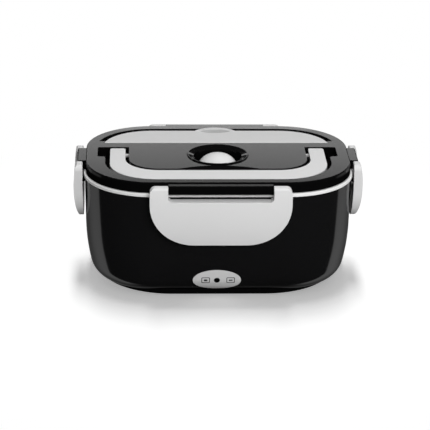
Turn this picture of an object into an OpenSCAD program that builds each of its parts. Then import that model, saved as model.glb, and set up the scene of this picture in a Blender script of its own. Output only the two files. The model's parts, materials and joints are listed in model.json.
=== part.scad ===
/* [Plan] */
// Width of the lid from side to side
lid_w = 216; // [204:1:230]
// Depth of the lid from front to back
lid_d = 145.4; // [140:0.2:156]
// Plan radius of the lid's corners
corner_r = 55; // [50:0.5:60]

/* [Heights] */
// Height of the outer shell's top edge above the table
shell_top = 89.1; // [84:0.1:98]
// Height of the white rim band between shell and lid
band_h = 2.8; // [2.5:0.1:3.4]
// Height of the lid's side wall
skirt_h = 8.5; // [8:0.1:9]
// Height of the foot ring under the outer shell
ring_h = 4.2; // [3.8:0.1:5]
// How far the rubber feet stand below the foot ring
foot_drop = 0.6; // [0.4:0.1:1.2]

/* [Outer shell] */
// How far the shell's top edge stands out past the lid
shell_reach = 0.9; // [0.3:0.1:1.2]
// Wall thickness of the outer shell
shell_t = 2.4; // [2:0.1:2.6]
// Lean of the straight part of the side wall, in degrees
shell_draft = 1.1; // [0.5:0.1:1.6]
// Height at which the side wall starts to curve in
curve_z = 49.7; // [46:0.1:56]
// Radius of the side wall's long curve
curve_r = 160; // [140:1:200]
// Height at which the bottom rounding starts
round_z = 17.1; // [16:0.1:18]
// Radius of the bottom rounding
round_r = 18.5; // [17.5:0.1:21]
// Width of the shell's floor under the rounding
floor_w = 10; // [8:0.5:12]

/* [Foot ring] */
// How far the foot ring stands in from the lid's front edge
ring_inset = 12.8; // [12.6:0.1:15]
// Plan radius of the foot ring's corners
ring_r = 58; // [50:0.5:58]
// Wall of the foot ring
ring_t = 2; // [1.6:0.1:2.6]
// Thickness of the bottom cover's plate
cover_t = 1.8; // [1.5:0.1:2.4]
// Radius of a rubber foot
foot_r = 6; // [5:0.1:7]
// Distance of the feet from the middle, sideways
foot_x = 68; // [60:1:72]
// Distance of the feet from the middle, front to back
foot_y = 28; // [22:1:32]

/* [Inner liner] */
// How far the rim band stands out past the lid
band_reach = 1.8; // [1.4:0.1:2]
// Wall thickness of the liner
liner_t = 2; // [1.6:0.1:2.4]
// Distance of the liner's inner wall from the lid's edge, at the top
liner_in = 9; // [8.4:0.1:10]
// How far the liner's wall leans in on its way down
liner_lean = 3; // [2:0.1:4]
// Inner radius between the liner's wall and floor
liner_r = 8; // [6:0.5:10]
// Height of the liner's floor, underside
liner_z = 28; // [27:0.1:31]

/* [Trays] */
// Wall thickness of the food tray
tray_t = 1.6; // [1.2:0.1:2]
// Side clearance between the food tray and the liner
tray_gap = 0.8; // [0.6:0.1:1.2]
// Inner radius between the food tray's wall and floor
tray_r = 8; // [6:0.5:10]
// Wall thickness of the side tray
dish_t = 1.4; // [1.2:0.1:1.8]
// Left edge of the side tray from the middle
dish_x = 24; // [18:1:34]
// Corner radius of the side tray on its straight side
dish_r = 14; // [10:1:18]

/* [Lid] */
// Wall thickness of the lid
lid_t = 2.2; // [1.8:0.1:2.4]
// Rounding of the lid's upper edge
lid_edge = 1.2; // [0.8:0.1:1.6]
// Thickness of the pocket walls and floors under the lid
pocket_t = 1.6; // [1.3:0.1:1.8]
// Width of the silicone seal
seal_w = 2.9; // [2.6:0.1:3]
// Height of the silicone seal
seal_h = 3.3; // [3:0.1:3.5]
// Thickness of the inner lid
inner_t = 1.8; // [1.4:0.1:2.2]
// How far the lid's pan reaches down into the tray
pan_h = 6; // [5.8:0.1:7]

/* [Vent] */
// Distance of the vent's middle in front of the lid's middle
vent_y = 4.1; // [2:0.1:6]
// Radius of the vent's collar
collar_r = 25.4; // [24:0.1:25.6]
// Height of the vent's collar above the lid's top
collar_h = 1; // [0.6:0.1:1.2]
// Width of the funnel inside the vent's collar
funnel_w = 4.5; // [3.5:0.1:5]
// Depth of the funnel inside the vent's collar
funnel_h = 1.8; // [1:0.1:2.4]
// Radius of the vent's well
well_r = 19.8; // [18:0.1:20]
// Depth of the vent's well below the lid's top
well_h = 11; // [10:0.1:11.4]
// Radius of the vent plug's dome
dome_r = 16.2; // [15:0.1:16.8]
// Height of the vent plug's dome
dome_h = 12; // [10:0.1:13]
// Radius of the vent plug's stem
stem_r = 2.4; // [2:0.1:2.8]
// Lift of the vent plug
plug_lift = 4; // [3:0.5:5]

/* [Handle] */
// Distance of the handle's outer side from the lid's side
handle_side = 19.7; // [18.6:0.1:21]
// Distance of the handle's front edge from the lid's front
handle_front = 9.5; // [8.2:0.1:10]
// Width of the handle's arms
arm_w = 12.6; // [11:0.1:13.4]
// Width of the handle's front bar
bar_w = 21.7; // [17:0.1:22]
// Outer corner radius of the handle
handle_r = 38; // [34:0.5:39]
// Thickness of the handle
handle_t = 5; // [4.4:0.1:5.2]
// Distance of the handle's pivot behind the lid's middle
pivot_y = 6.5; // [5:0.1:8]
// Length of the handle's tail behind the pivot
tail_l = 6.5; // [5.4:0.1:6.6]
// Depth of the handle's pivot below the lid's top
pivot_depth = 4.4; // [4.2:0.1:4.6]
// Radius of the handle's pivot studs
stud_r = 1.5; // [1.2:0.1:1.8]

/* [Spoon cover] */
// Distance of the cover's front edge behind the lid's middle
cover_y = 27; // [25.5:0.1:29]
// Distance of the cover's curved edge from the lid's edge
cover_in = 13.7; // [13:0.1:15]
// Thickness of the spoon cover
spoon_cover_t = 1.8; // [1.5:0.1:2.2]
// Width of the cover's finger tab
tab_w = 31.5; // [26:0.5:34]
// Reach of the cover's finger tab behind the cover
tab_reach = 7; // [5:0.1:7.4]

/* [Latches] */
// Width of the front and rear latches
latch_w = 113; // [104:0.5:118]
// Width of the side latches
side_latch_w = 57; // [52:0.5:62]
// Width of the front and rear latches' ears
ear_w = 14.5; // [12:0.1:16]
// Width of the side latches' ears
side_ear_w = 12.5; // [11:0.1:14]
// Height of the latches
latch_h = 49.2; // [47:0.1:52]
// Distance of the latches' upper edge below the lid's top
latch_drop = 1.5; // [1.2:0.1:2]
// How far the front and rear latches stand out from the lid's wall
latch_out = 11.7; // [11:0.1:12.4]
// How far the side latches stand out from the lid's wall
side_latch_out = 9.9; // [9.4:0.1:11]
// Distance of the latches' back from the lid's wall
latch_in = 2.6; // [2.4:0.1:3]
// Distance of the latches' back from the lid's wall at their foot
foot_in = 2; // [2:0.1:2.4]
// Radius of the latches' bulged faces
bulge_r = 98; // [85:1:120]
// Height of the bulge's middle above the latch's middle
bulge_rise = 6.5; // [4:0.5:8]
// Corner radius at the foot of the front and rear latches
latch_r = 36; // [28:0.5:40]
// Corner radius at the foot of the side latches
side_latch_r = 25; // [18:0.5:26]
// Wall thickness of the latches
latch_t = 2.2; // [1.8:0.1:2.4]
// Depth of the notch between the ears below the lid's top
notch_h = 12.3; // [11.6:0.1:13]
// How far the lid's hinge bars stand out from its wall
bar_out = 7; // [6.6:0.1:7.2]
// Radius of the latches' hinge stubs
stub_r = 1.5; // [1.2:0.1:1.6]
// Distance of the latch hooks below the lid's top
hook_drop = 21.3; // [20:0.1:23]

/* [Indicator] */
// Sideways place of the indicator plate from the middle
badge_x = -2; // [-10:0.5:10]
// Height of the indicator plate's middle above the table
badge_z = 16.2; // [15:0.1:18]
// Width of the indicator plate
badge_w = 39; // [32:0.2:42]
// Height of the indicator plate
badge_h = 19; // [14:0.2:20]
// Radius of the lamp's lens
lens_r = 2.4; // [2:0.1:3]

/* [Mains inlet] */
// Height of the inlet's middle above the table
inlet_z = 18; // [17.6:0.1:18.6]
// Width of the inlet's flange
inlet_w = 28; // [26:0.5:30]
// Height of the inlet's flange
inlet_h = 15; // [14:0.1:15.4]
// Radius of the inlet's two pins
pin_r = 1.2; // [1.1:0.05:1.3]
// Distance between the inlet's two pins
pin_gap = 8.6; // [8.2:0.1:9]

/* [Heater] */
// Width of the heater plate
plate_w = 150; // [130:1:156]
// Depth of the heater plate
plate_d = 80; // [70:1:84]
// Thickness of the heater plate
plate_t = 1.2; // [0.8:0.1:1.4]
// Corner radius of the heater plate
plate_r = 22; // [16:1:30]
// Distance of the cover's screws from the middle, sideways
screw_x = 44; // [38:1:48]
// Distance of the cover's screws from the middle, front to back
screw_y = 43; // [42.8:0.1:44]

/* [Hidden] */
$fn = 96;
eps = 0.01;
gap = 0.3;
fit = 0.05;
arc_steps = 6;

black = "#1b1b1d";
white = "#e4e4e2";
steel = "#b9bcc0";
clear = "#d8dde0";
red = "#a8322c";

half_w = lid_w / 2;
half_d = lid_d / 2;
corner_x = half_w - corner_r;
corner_y = half_d - corner_r;

ring_z = foot_drop;
shell_z = ring_z + ring_h;
band_z = shell_top + gap;
band_top = band_z + band_h;
skirt_z = band_top + gap;
lid_top = skirt_z + skirt_h;
ledge_z = band_top - tray_t - gap;
liner_floor = liner_z + liner_t;
plate_top = liner_floor + plate_t;
tray_z = plate_top + gap;
tray_floor = tray_z + tray_t;
tray_in = liner_in + tray_gap;
tray_lean = liner_lean + 0.4;
pan_in = tray_in + tray_t + 1.4;
pan_z = skirt_z - pan_h;
seal_in = lid_t + gap;
groove_in = seal_in + seal_w + gap;
seat_z = ledge_z + tray_t;

// Side wall of the shell as a line and two arcs that run into each other, from the top down.
lean_sin = sin(shell_draft);
bend_z = curve_z + curve_r * lean_sin;
bend_reach = corner_r + shell_reach - (shell_top - curve_z) * tan(shell_draft) - curve_r * cos(shell_draft);
turn_a = asin((bend_z - round_z) / curve_r);
foot_reach = bend_reach + (curve_r - round_r) * cos(turn_a);
foot_z = round_z + round_r * sin(turn_a);
end_a = asin((foot_z - shell_z) / round_r);
shell_foot_in = corner_r - foot_reach - round_r * cos(end_a);

latch_top = lid_top - latch_drop;
axis_out = latch_in + stub_r + 0.3;
axis_z = lid_top - 4;
notch_z = lid_top - notch_h;
hook_z = lid_top - hook_drop;
catch_z = hook_z + gap;
catch_out = latch_in + 1;
catch_h = 2.4;
hook_tip = catch_out - 1.4;
bar_half = latch_w / 2 - ear_w - gap;
side_bar_half = side_latch_w / 2 - side_ear_w - gap;
stub_l = 4;

handle_half = half_w - handle_side;
handle_y = -half_d + handle_front;
inner_half = handle_half - arm_w;
inner_y = handle_y + bar_w;
inner_r = handle_r - 10.5;
handle_top = lid_top - 0.2;
handle_z = handle_top - handle_t;
tail_y = pivot_y + tail_l;
pivot_z = lid_top - pivot_depth;
boss_r = handle_top - pivot_z;
recess_z = handle_z - 0.6;
recess_tail = tail_y + 2.6;
tail_pocket_z = pivot_z - tail_l - 0.6;
plateau_half = inner_half - 2.9;
recess_side = handle_half + 3.9;
notch_side = recess_side + 6.4;

well_z = lid_top - well_h;
vent_hole_r = stem_r + 1;

cover_gap = 0.4;
cover_barrel_r = 1.3;
cover_axis_y = cover_y + cover_barrel_r;
cover_axis_z = lid_top - cover_barrel_r;
cover_z = lid_top - spoon_cover_t;
cover_stub_r = 0.9;
cover_end = corner_x + sqrt(pow(corner_r - cover_in, 2) - pow(cover_axis_y - corner_y, 2));
slot_z = lid_top - 4.5;
slot_in = cover_in - 5.2;
slot_y = cover_y + 4;
rim_w = 1.6;
rim_in = cover_in + rim_w + 0.6;
spoon_floor = pan_z + 2.4;
tab_r = (pow(tab_w / 2, 2) + pow(tab_reach, 2)) / (2 * tab_reach);
tab_y = half_d - cover_in + tab_reach - tab_r;

// A place in the upright section through a wall: inset from the lid's edge, and height.
function at(inset, z) = [corner_r - inset, z];

// Points along an arc in the section.
function arc(c, r, a0, a1, n = arc_steps) = [for (i = [0:n]) c + r * [cos(a0 + (a1 - a0) * i / n), sin(a0 + (a1 - a0) * i / n)]];

// Outer shell's side from the top edge to its foot, drawn in by t square to the surface.
function shell_side(t) = concat(
    [[corner_r + shell_reach - t / cos(shell_draft), shell_top]],
    arc([bend_reach, bend_z], curve_r - t, -shell_draft, -turn_a),
    arc([foot_reach, foot_z], round_r - t, -turn_a, -end_a));

// Reach of the shell's outer side from the corner's centre at a height in its long curve or rounding.
function reach_at(z) = z > round_z
    ? bend_reach + sqrt(pow(curve_r, 2) - pow(bend_z - z, 2))
    : foot_reach + sqrt(pow(round_r, 2) - pow(foot_z - z, 2));

// One side of a cup from its rim to the middle of its floor.
function cup_side(top_in, top_z, low_in, floor_z, r) = concat(
    [at(top_in, top_z)],
    arc([corner_r - low_in - r, floor_z + r], r, 0, -90),
    [[0, floor_z]]);

function reversed(list) = [for (i = [len(list) - 1:-1:0]) list[i]];

// The lid's plan outline, drawn in by an inset.
module outline(inset) {
    rounded(half_w - inset, half_d - inset, corner_r - inset);
}

module rounded(hx, hy, r) {
    square([2 * hx, 2 * (hy - r)], center = true);
    square([2 * (hx - r), 2 * hy], center = true);
    for (x = [-1, 1], y = [-1, 1]) translate([x * (hx - r), y * (hy - r)]) circle(r);
}

// Carries an upright section round the plan outline.
module around() {
    for (q = [0:3]) {
        x = q == 0 || q == 3 ? corner_x : -corner_x;
        y = q < 2 ? corner_y : -corner_y;
        translate([x, y, 0]) rotate([0, 0, 90 * q]) rotate_extrude(angle = 90) children();
    }
    for (m = [0, 1]) {
        mirror([0, m, 0]) translate([-corner_x, corner_y, 0]) rotate([90, 0, 90])
            linear_extrude(2 * corner_x) children();
        mirror([m, 0, 0]) translate([corner_x, corner_y, 0]) rotate([90, 0, 0])
            linear_extrude(2 * corner_y) children();
    }
}

// Fills the middle of a shape made by around().
module middle(z0, z1) {
    translate([-corner_x, -corner_y, z0]) cube([2 * corner_x, 2 * corner_y, z1 - z0]);
}

// Stands a shape drawn in X and Z upright, and extrudes it in Y from y0 to y1.
module upright(y0, y1) {
    translate([0, y1, 0]) rotate([90, 0, 0]) linear_extrude(y1 - y0) children();
}

// Lays a section drawn in Y and Z along X from x0 to x1.
module along(x0, x1) {
    translate([x0, 0, 0]) rotate([90, 0, 90]) linear_extrude(x1 - x0) children();
}

// Places a side's parts: drawn for the front, with the lid's wall at y = 0.
module at_side(side) {
    if (side == "front") translate([0, -half_d, 0]) children();
    if (side == "rear") rotate([0, 0, 180]) translate([0, -half_d, 0]) children();
    if (side == "left") rotate([0, 0, -90]) translate([0, -half_w, 0]) children();
    if (side == "right") rotate([0, 0, 90]) translate([0, -half_w, 0]) children();
}

// Reach of the straight part of the shell's wall, measured from the corner's centre.
function wall_reach(z) = corner_r + shell_reach - (shell_top - z) * tan(shell_draft);

lamp_tilt = asin((foot_z - badge_z) / round_r);
lamp_y = -corner_y - reach_at(badge_z);
inlet_face = corner_y + reach_at(inlet_z - inlet_h / 2 - 1.5);
inlet_depth = 16;
catch_wall = corner_r - wall_reach(catch_z) + shell_t;
plate_low = shell_z - cover_t;
SIDES = ["front", "rear", "left", "right"];

function is_long(side) = side == "front" || side == "rear";

// Stands on the shell's front at the lamp, with Z pointing out of the wall.
module lamp_axis() {
    translate([badge_x, lamp_y, badge_z]) rotate([90 + lamp_tilt, 0, 0]) children();
}

// The indicator plate's oval outline.
module badge_plan(grow) {
    w = badge_w / 2 + grow;
    h = badge_h / 2 + grow;
    translate([badge_x, badge_z]) polygon([for (a = [0:6:354]) [w * cos(a), h * sin(a)]]);
}

// The shell's front wall as a layer between two depths below its outer side.
module front_layer(t0, t1) {
    mirror([0, 1, 0]) translate([0, corner_y, 0]) along(badge_x - badge_w, badge_x + badge_w)
        polygon(concat(shell_side(t0), reversed(shell_side(t1))));
}

module inlet_plan(grow) {
    translate([0, inlet_z]) rounded(inlet_w / 2 + grow, inlet_h / 2 + grow, 3 + grow);
}

// The inlet's body behind its flange, and the figure-of-eight socket in it.
module inlet_body_plan(grow) {
    translate([0, inlet_z]) rounded(inlet_w / 2 - 4 + grow, inlet_h / 2 - 2 + grow, 2);
}

module socket_plan() {
    for (x = [-1, 1]) translate([x * pin_gap / 2, inlet_z]) circle(4.2);
    translate([0, inlet_z]) square([pin_gap, 6.4], center = true);
}

// The rib that a latch's hook catches under.
module catch_rib(half) {
    root = catch_wall - shell_t / 2;
    along(-half, half) polygon([[root, catch_z], [-catch_out, catch_z], [-catch_out, catch_z + catch_h / 2],
        [0, catch_z + catch_h + 0.8], [root, catch_z + catch_h + 0.8]]);
}

module outer_shell() {
    color(black) difference() {
        union() {
            around() polygon(concat(
                shell_side(0),
                [at(shell_foot_in + floor_w, shell_z), at(shell_foot_in + floor_w, shell_z + shell_t)],
                reversed(shell_side(shell_t))));
            for (side = SIDES) at_side(side) catch_rib((is_long(side) ? bar_half : side_bar_half) - 6);
            upright(inlet_face - shell_t, inlet_face + shell_t) inlet_plan(shell_t + 0.8);
        }
        upright(inlet_face, half_d + 5) inlet_plan(0.8);
        upright(inlet_face - 2 * shell_t, inlet_face + eps) inlet_body_plan(gap);
        intersection() {
            front_layer(-1, 0.9);
            upright(-half_d - 2, -corner_y) badge_plan(0.15);
        }
        lamp_axis() cylinder(r = lens_r + gap, h = 20, center = true);
    }
}

module ring_plan(inset) {
    rounded(half_w - ring_inset + 0.6 - inset, half_d - ring_inset - inset, ring_r - inset);
}

// Bottom cover: a plate with a ring wall that closes the hole in the shell's floor.
module bottom_cover() {
    color(black) difference() {
        union() {
            translate([0, 0, ring_z]) linear_extrude(ring_h - fit) difference() {
                ring_plan(0);
                ring_plan(ring_t);
            }
            translate([0, 0, plate_low]) linear_extrude(cover_t - fit) ring_plan(ring_t - eps);
            for (x = [-1, 1], y = [-1, 1]) translate([x * foot_x, y * foot_y, plate_low - 1])
                cylinder(r = foot_r + 1.4, h = 1 + eps);
        }
        for (x = [-1, 1], y = [-1, 1]) {
            translate([x * screw_x, y * screw_y, 0]) cylinder(r = 1.8, h = shell_z + 1);
            translate([x * foot_x, y * foot_y, 0]) cylinder(r = foot_r + 0.1, h = plate_low);
        }
    }
}

module rubber_feet() {
    color("#2b2b2b") for (x = [-1, 1], y = [-1, 1]) translate([x * foot_x, y * foot_y, 0])
        rotate_extrude() polygon([[0, 0], [foot_r - 0.6, 0], [foot_r, 0.6], [foot_r, plate_low], [0, plate_low]]);
}

// Four screws that run up into the liner's posts and clamp the shell between liner and cover.
module cover_screws() {
    color(steel) for (x = [-1, 1], y = [-1, 1]) translate([x * screw_x, y * screw_y, plate_low - 1.6]) difference() {
        union() {
            cylinder(r1 = 2.3, r2 = 2.9, h = 1.6);
            cylinder(r = 1.4, h = 15);
        }
        for (a = [0, 90]) rotate([0, 0, a]) cube([3.4, 0.7, 1.6], center = true);
    }
}

module plate_plan(inset) {
    rounded(plate_w / 2 - inset, plate_d / 2 - inset, plate_r - inset);
}

// White liner: rim band, ledge for the food tray, tub and the posts under its floor.
module inner_liner() {
    lip_in = lid_t + 0.4;
    shell_in = shell_t - shell_reach + gap;
    section = concat(
        [at(-band_reach, band_z), at(-band_reach, band_top - 0.6), at(0.6 - band_reach, band_top),
         at(lip_in, band_top), at(lip_in, ledge_z)],
        cup_side(liner_in, ledge_z, liner_in + liner_lean, liner_floor, liner_r),
        reversed(cup_side(liner_in - liner_t, ledge_z - liner_t, liner_in + liner_lean - liner_t, liner_z,
                          liner_r + liner_t)),
        [at(shell_in + 1.8, ledge_z - liner_t), at(shell_in + 1.8, shell_top - 3), at(shell_in, shell_top - 3),
         at(shell_in, band_z)]);
    color(white) difference() {
        union() {
            around() polygon(section);
            middle(liner_z, liner_floor);
            for (x = [-1, 1], y = [-1, 1]) translate([x * screw_x, y * screw_y, shell_z + gap])
                cylinder(r = 4, h = liner_z - shell_z - gap + eps);
        }
        for (x = [-1, 1], y = [-1, 1]) translate([x * screw_x, y * screw_y, shell_z]) cylinder(r = 1.45, h = 14);
        translate([0, 0, liner_z - 1]) linear_extrude(liner_t + 2) plate_plan(7);
        translate([0, 0, liner_floor - 1]) linear_extrude(2) difference() {
            plate_plan(1);
            plate_plan(5);
        }
    }
}

// Steel heater plate with two weld studs under it.
module heater_plate() {
    color(steel) union() {
        translate([0, 0, liner_floor]) linear_extrude(plate_t) plate_plan(0);
        for (x = [-1, 1]) translate([x * strip_x, 0, stud_low]) cylinder(r = 1.5, h = liner_floor - stud_low + eps);
    }
}

strip_x = 30;
strip_t = 1.5;
strip_z = liner_z - strip_t;
nut_h = 2.4;
stud_low = strip_z - nut_h - 1.2;
ptc_z = liner_z + gap;
ptc_w = 28;
ptc_l = 44;

module plate_gasket() {
    color("#c9c9c4") translate([0, 0, liner_floor - 1 + fit]) linear_extrude(1 - 2 * fit) difference() {
        plate_plan(1.2);
        plate_plan(4.8);
    }
}

// Two ceramic heaters pressed against the plate, each with a hole for a stud.
module ptc_heaters() {
    color("#d9d4c4") for (x = [-1, 1]) translate([x * strip_x, 0, ptc_z]) difference() {
        translate([-ptc_w / 2, -ptc_l / 2, 0]) cube([ptc_w, ptc_l, liner_floor - ptc_z - fit]);
        translate([0, 0, -1]) cylinder(r = 2, h = 5);
    }
}

// Spring strips across the opening in the liner's floor.
module heater_clamp() {
    color("#8f9296") for (x = [-1, 1]) translate([x * strip_x, 0, strip_z]) difference() {
        linear_extrude(strip_t) rounded(6, plate_d / 2 + 2, 4);
        translate([0, 0, -1]) cylinder(r = 1.7, h = 4);
    }
}

module plate_nuts() {
    color(steel) for (x = [-1, 1]) translate([x * strip_x, 0, strip_z - nut_h]) difference() {
        cylinder(r = 3.2, h = nut_h, $fn = 6);
        translate([0, 0, -1]) cylinder(r = 1.55, h = nut_h + 2);
    }
}

fuse_r = 2;
fuse_z = liner_floor - fuse_r - 0.1;
disc_r = 7;
disc_y = 17;

// Thermal fuse in its clip against the middle of the plate.
module thermal_fuse() {
    color("#dcdcd6") translate([0, -disc_y, fuse_z]) rotate([0, 90, 0]) union() {
        cylinder(r = fuse_r, h = 12, center = true);
        cylinder(r = 0.5, h = 20, center = true);
    }
}

// Disc thermostat with two tabs.
module thermostat() {
    color("#3a3a3c") translate([0, disc_y, liner_floor - 4.6]) union() {
        cylinder(r = disc_r, h = 4.5);
        for (x = [-1, 1]) translate([x * 4 - 0.4, -2.4, -5]) cube([0.8, 4.8, 5.2]);
    }
}

// Figure-of-eight mains inlet: flange, body and socket.
module mains_inlet() {
    color("#232325") difference() {
        union() {
            upright(inlet_face, inlet_face + 2) inlet_plan(0);
            upright(inlet_face - inlet_depth, inlet_face + eps) inlet_body_plan(0);
        }
        upright(inlet_face - 11, inlet_face + 3) socket_plan();
        for (x = [-1, 1]) translate([x * pin_gap / 2, inlet_face, inlet_z]) rotate([90, 0, 0])
            cylinder(r = pin_r + 0.02, h = inlet_depth + 1);
    }
}

module inlet_pins() {
    color(steel) for (x = [-1, 1]) translate([x * pin_gap / 2, inlet_face - 0.6, inlet_z]) rotate([90, 0, 0])
        cylinder(r = pin_r, h = inlet_depth + 3.4);
}

// Oval indicator plate let into the shell's front.
module indicator_plate() {
    color("#b9bab9") difference() {
        intersection() {
            front_layer(-0.5, 0.8);
            upright(-half_d - 2, -corner_y) badge_plan(0);
        }
        lamp_axis() cylinder(r = lens_r + 0.1, h = 10, center = true);
    }
}

module lamp_lens() {
    color("#141414") lamp_axis() translate([0, 0, -2.6]) rotate_extrude() polygon([[0, 0], [lens_r + 0.06, 0],
        [lens_r, 0.2], [lens_r, 3], [lens_r * 0.75, 3.4], [lens_r * 0.4, 3.6], [0, 3.65]]);
}

lamp_r = 1.9;

module lamp() {
    color(red) lamp_axis() translate([0, 0, -9.2]) union() {
        cylinder(r = lamp_r, h = 4.2);
        translate([0, 0, 4.2]) sphere(r = lamp_r);
        cylinder(r = lamp_r + 0.4, h = 0.8);
    }
}

// Circuit board behind the lamp, with its resistor.
module lamp_board() {
    color("#2e5a3a") lamp_axis() translate([0, 0, -10.6]) union() {
        translate([-7, -5, 0]) cube([14, 10, 1.3]);
        translate([-3.4, 3.2, -0.8]) rotate([0, 90, 0]) cylinder(r = 0.9, h = 6.8);
    }
}

// Ring of points round a place on a route, square to its direction.
function ring(p, d, r, n) =
    let (side = cross(d, abs(d.z) < 0.9 * norm(d) ? [0, 0, 1] : [0, 1, 0]),
         u = side / norm(side), v = cross(u, d) / norm(d))
    [for (i = [0:n - 1]) p + r * (cos(360 * i / n) * u + sin(360 * i / n) * v)];

// Tube swept along a route's points.
module wire(route, r, n = 8) {
    last = len(route) - 1;
    dirs = [for (i = [0:last]) route[min(i + 1, last)] - route[max(i - 1, 0)]];
    rings = [for (i = [0:last]) ring(route[i], dirs[i], r, n)];
    polyhedron(
        points = [for (c = rings) each c],
        faces = concat(
            [[for (j = [0:n - 1]) j]],
            [[for (j = [n - 1:-1:0]) last * n + j]],
            [for (i = [0:last - 1], j = [0:n - 1]) [i * n + j, (i + 1) * n + j, (i + 1) * n + (j + 1) % n, i * n + (j + 1) % n]]));
}

terminal_y = inlet_face - inlet_depth - 4;

// Two leads from the inlet's terminals to the heaters, past the fuse and the thermostat.
module heater_leads() {
    color(red) for (x = [-1, 1]) wire([[x * pin_gap / 2, terminal_y - gap, inlet_z], [x * 6, terminal_y - 4, inlet_z],
        [x * 9, terminal_y - 8, inlet_z + 1], [x * 12, terminal_y - 12, inlet_z + 3], [x * 15, 26, inlet_z + 5],
        [x * 18, 22, inlet_z + 7], [x * 20, 17, ptc_z - 2.4], [x * 20, 12, ptc_z - 1.2]], 0.9);
}

// Two leads from the inlet's terminals forward to the lamp's board.
module lamp_leads() {
    color("#d8d8d8") for (x = [-1, 1]) wire([[x * pin_gap / 2, terminal_y + 1.4, inlet_z - pin_r - 1],
        [x * 5, terminal_y - 3, inlet_z - 5], [x * 7, terminal_y - 10, 10], [x * 6, 24, 8], [x * 4, 8, 7.4], [x * 3, -12, 7.4], [x * 2.4 - 1, -30, 8],
        [x * 2.2 + badge_x / 2, -42, 9.6], [x * 2 + badge_x, lamp_y + 15, badge_z - 3.4],
        [x * 2 + badge_x, lamp_y + 11.7, badge_z - 0.3]], 0.7);
}

// Food tray: flange on the liner's ledge, leaning walls and a flat floor.
module food_tray() {
    flange_in = lid_t + 1;
    section = concat(
        [at(flange_in, ledge_z + gap), at(flange_in, seat_z + gap), at(tray_in + tray_t, seat_z + gap)],
        cup_side(tray_in + tray_t, seat_z - 1, tray_in + tray_t + tray_lean, tray_floor, tray_r),
        reversed(cup_side(tray_in, ledge_z + gap, tray_in + tray_lean, tray_z, tray_r + tray_t)));
    color(clear) union() {
        around() polygon(section);
        middle(tray_z, tray_floor);
    }
}

dish_low_in = tray_in + tray_t + tray_lean + tray_r * 0.7;
dish_high_in = tray_in + tray_t + tray_lean + 1;
dish_z = tray_floor + gap;
dish_top = pan_z - inner_t - 1.2;

// Outline of the side tray: the food tray's right end, with its own rounded left side.
module dish_plan(inset, grow) {
    intersection() {
        outline(inset - grow);
        translate([half_w, 0]) rounded(half_w - dish_x + grow, half_d - inset + grow, dish_r + grow);
    }
}

module dish_body(t, floor_t) {
    hull() {
        translate([0, 0, dish_z + floor_t]) linear_extrude(0.1) dish_plan(dish_low_in + 2, -t);
        translate([0, 0, dish_z + 5]) linear_extrude(0.1) dish_plan(dish_low_in - 3, -t);
        translate([0, 0, dish_top - (t > 0 ? -1 : 0)]) linear_extrude(0.1) dish_plan(dish_high_in + 1.4, -t);
    }
}

// Small loose tray that stands in the right end of the food tray.
module side_tray() {
    color(white) difference() {
        union() {
            dish_body(0, 0);
            translate([0, 0, dish_top - 1.2]) linear_extrude(1.3) dish_plan(dish_high_in, 0);
        }
        dish_body(dish_t, dish_t);
    }
}

// Plan of a shape that is square at the back and rounded at its front corners.
module u_plan(half, front, r, back) {
    intersection() {
        union() {
            translate([-half, front + r]) square([2 * half, back - front - r]);
            translate([-half + r, front]) square([2 * (half - r), r + eps]);
            for (x = [-1, 1]) translate([x * (half - r), front + r]) circle(r);
        }
        translate([-half - 1, front - 1]) square([2 * half + 2, back - front + 1]);
    }
}

module recess_plan(grow) {
    difference() {
        union() {
            u_plan(recess_side + grow, handle_y - 0.8 - grow, handle_r + 4 + grow, recess_tail + grow);
            for (x = [-1, 1]) translate([x * (notch_side - notch_half), (recess_tail + notch_y) / 2])
                rounded(notch_half + grow, (recess_tail - notch_y) / 2 + grow, 2 + grow);
        }
        u_plan(plateau_half - grow, inner_y + 2.7 + grow, inner_r - 2.5 - grow, recess_tail + grow + 1);
    }
}

notch_half = (notch_side - recess_side) / 2 + 3;
notch_y = pivot_y - 14.7;
tail_pocket_y = pivot_y - boss_r - 1.2;

module tail_pocket(grow) {
    for (m = [0, 1]) mirror([m, 0, 0])
        translate([plateau_half - grow, tail_pocket_y - grow, tail_pocket_z - grow])
            cube([recess_side - plateau_half + 2 * grow, recess_tail - tail_pocket_y + 2 * grow, lid_top - tail_pocket_z + 5 + grow]);
}

// The slot round the spoon cover: open behind it, and close to it beside its hinge.
module slot_plan(grow) {
    intersection() {
        union() {
            intersection() {
                outline(slot_in - grow);
                translate([-half_w, slot_y - grow]) square([lid_w, half_d]);
            }
            outline(cover_in - cover_gap - grow);
        }
        translate([-half_w, cover_y - cover_gap - grow]) square([lid_w, half_d]);
    }
}

module spoon_plan(grow) {
    intersection() {
        outline(rim_in - grow);
        translate([-half_w, cover_y - cover_gap - grow]) square([lid_w, half_d]);
    }
}

module tab_plan(grow) {
    intersection() {
        translate([0, tab_y]) circle(tab_r + grow);
        translate([-tab_w, half_d - cover_in - 1]) square([2 * tab_w, half_d]);
    }
}

module well(grow) {
    translate([0, -vent_y, well_z - grow]) cylinder(r = well_r + grow, h = well_h + grow);
}

// Bars on the lid's walls that carry the latches.
module hinge_bar(half) {
    bar_low = skirt_z + 0.4;
    bar_high = lid_top - 0.8;
    r = 1.2;
    difference() {
        along(-half, half) union() {
            translate([-bar_out + r, bar_low]) square([bar_out - r + 2, bar_high - bar_low]);
            translate([-bar_out, bar_low + r]) square([4, bar_high - bar_low - 2 * r]);
            for (z = [bar_low + r, bar_high - r]) translate([-bar_out + r, z]) circle(r);
        }
        for (m = [0, 1]) mirror([m, 0, 0]) translate([half - stub_l + 0.2, -axis_out, axis_z]) rotate([0, 90, 0])
            cylinder(r = stub_r + fit, h = stub_l + 1);
    }
}

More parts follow.
